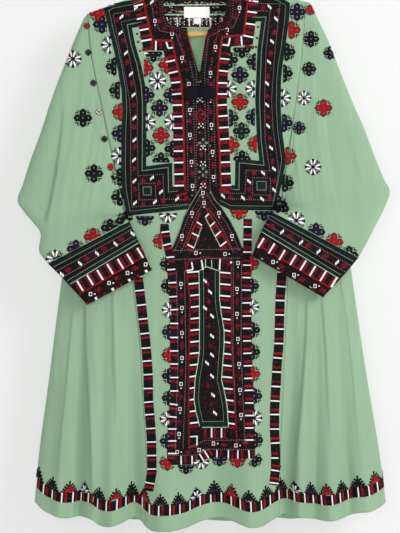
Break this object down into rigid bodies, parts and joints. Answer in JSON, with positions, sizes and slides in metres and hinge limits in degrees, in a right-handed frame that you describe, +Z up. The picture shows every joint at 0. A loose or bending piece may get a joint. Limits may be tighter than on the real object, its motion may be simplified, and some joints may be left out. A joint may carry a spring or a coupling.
{
  "type": "embroidered dress on a wooden hanger",
  "caption": "Wide-sleeved embroidered dress with a gathered skirt, hanging on a plain wooden hanger, sleeves folded to the front.",
  "frame": {"origin": "inside top of the hanger's hook, where a rail carries it", "axes": "+Z up, the front of the dress faces -Y, +X to the right as seen from the front"},
  "size_m": [0.7842, 0.1372, 1.2411],
  "materials": {
    "cloth": "soft matte plain weave, pale green",
    "embroidery": "dense raised stitching in dark, red, white and navy thread",
    "navy_braid": "soft braid",
    "label_tape": "smooth woven tape",
    "wood": "clear varnish",
    "hook_wire": "polished"
  },
  "bodies": {
    "root": {"front_panel": "cloth", "back_panel": "cloth", "side_panel_left": "cloth", "side_panel_right": "cloth", "sleeve_left": "cloth", "sleeve_right": "cloth", "cuff_left": "embroidery", "cuff_right": "embroidery", "chest_panel_left": "embroidery", "chest_panel_right": "embroidery", "neck_placket": "embroidery", "pocket": "embroidery", "strip_left": "embroidery", "strip_right": "embroidery", "hem_band_front": "embroidery", "hem_band_back": "embroidery", "hem_band_left": "embroidery", "hem_band_right": "embroidery", "back_neck_band": "embroidery", "bow": "navy_braid", "label": "label_tape", "size_tab": "label_tape", "hanger_arms": "wood", "hanger_bar": "wood", "hanger_hook": "hook_wire"}
  },
  "joints": []
}
